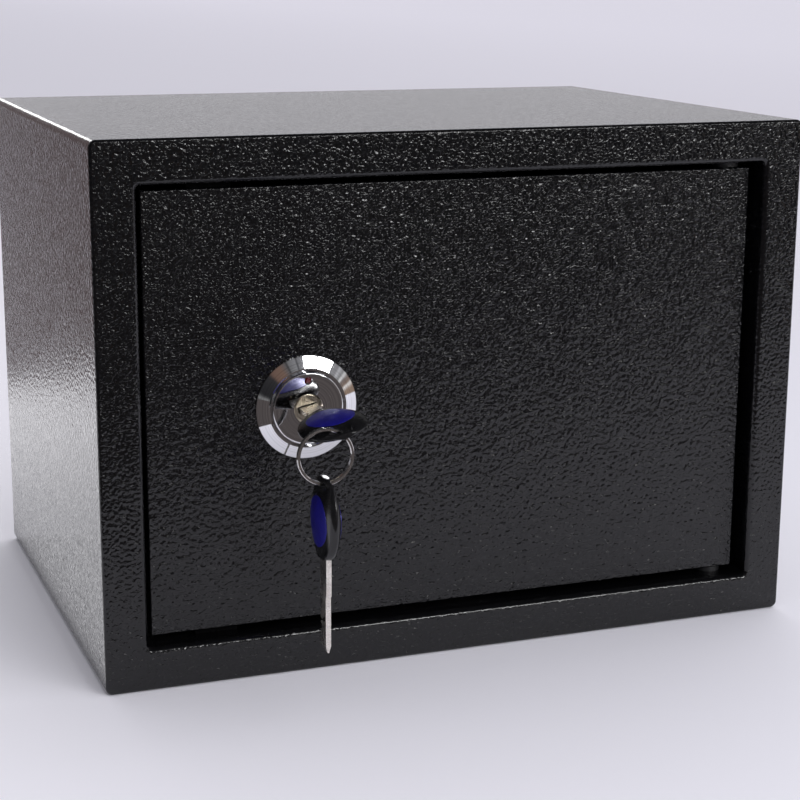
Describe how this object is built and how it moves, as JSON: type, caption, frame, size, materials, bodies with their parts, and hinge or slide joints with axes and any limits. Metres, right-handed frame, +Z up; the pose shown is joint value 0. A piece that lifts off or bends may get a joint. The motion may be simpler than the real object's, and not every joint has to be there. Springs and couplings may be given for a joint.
{
  "type": "office safe",
  "caption": "Small key-lock steel safe with a recessed right-hung door, a bevelled cam lock driving round side bolts, and keys on a split ring.",
  "frame": {"origin": "centre of the cabinet's underside", "axes": "+X to the right of the door along the width, +Y from the door to the back, +Z up"},
  "size_m": [0.35, 0.3092, 0.25],
  "materials": {
    "black_coat": "fine hammered black powder coat, half gloss",
    "mat_felt": "dark needle felt",
    "bush_nylon": "black nylon",
    "zinc_steel": "zinc-plated steel",
    "bright_steel": "turned bright steel",
    "chrome": "polished chrome plate",
    "plug_brass": "nickel-washed brass",
    "index_red": "glossy red enamel",
    "key_nickel": "nickel-plated key blank, fine brushed",
    "bow_plastic": "glossy black moulded plastic",
    "inlay_blue": "glossy deep blue enamel"
  },
  "bodies": {
    "cabinet": {"body_wrap": "black_coat", "back_panel": "black_coat", "front_frame": "black_coat", "floor_mat": "mat_felt", "hinge_bush_lower": "bush_nylon", "hinge_bush_upper": "bush_nylon", "door_stop_lower": "black_coat", "door_stop_upper": "black_coat"},
    "door": {"door_panel": "black_coat", "hinge_lug_lower": "black_coat", "hinge_lug_upper": "black_coat", "hinge_pin_lower": "zinc_steel", "hinge_pin_upper": "zinc_steel", "lock_escutcheon": "chrome", "lock_barrel": "chrome", "red_index_dot": "index_red", "lock_washer": "zinc_steel", "lock_nut": "zinc_steel", "bolt_guide": "black_coat", "carriage_posts": "black_coat", "carriage_screws": "zinc_steel", "lock_cover": "black_coat", "cover_screws": "zinc_steel"},
    "plug": {"key_plug": "plug_brass", "lock_cam": "zinc_steel", "cam_pin": "zinc_steel", "cam_screw": "zinc_steel"},
    "bolt_works": {"bolt_carriage": "zinc_steel", "bolt_lower": "bright_steel", "bolt_upper": "bright_steel", "bolt_screws": "zinc_steel"},
    "first_key": {"key_1_blade": "key_nickel", "key_1_bow": "bow_plastic", "key_1_inlay_front": "inlay_blue", "key_1_inlay_back": "inlay_blue"},
    "ring": {"key_ring": "chrome"},
    "spare_key": {"key_2_blade": "key_nickel", "key_2_bow": "bow_plastic", "key_2_inlay_front": "inlay_blue", "key_2_inlay_back": "inlay_blue"}
  },
  "joints": [
    {"name": "door_swing", "type": "hinge", "parent": "cabinet", "child": "door", "pos_m": [0.142, -0.109, 0.125], "axis": [0, 0, 1], "range_deg": [0, 100]},
    {"name": "key_turn", "type": "hinge", "parent": "door", "child": "plug", "pos_m": [-0.077, -0.11, 0.125], "axis": [0, -1, 0], "range_deg": [0, 90]},
    {"name": "bolt_throw", "type": "slide", "parent": "door", "child": "bolt_works", "axis": [-1, 0, 0], "range_m": [0, 0.01697]},
    {"name": "key_pull", "type": "slide", "parent": "plug", "child": "first_key", "axis": [0, -1, 0], "range_m": [0, 0.045]},
    {"name": "ring_turn", "type": "hinge", "parent": "first_key", "child": "ring", "pos_m": [-0.08503, -0.16891, 0.11534], "axis": [-0.0523, -0.9986, 0], "range_deg": [-20, 20]},
    {"name": "spare_key_swing", "type": "hinge", "parent": "ring", "child": "spare_key", "pos_m": [-0.08503, -0.16891, 0.10324], "axis": [-0.9986, 0.0523, 0], "range_deg": [-25, 60]}
  ],
  "couplings": [
    {"joint": "key_turn", "follows": "bolt_throw", "rad_per_m": 92.56}
  ]
}
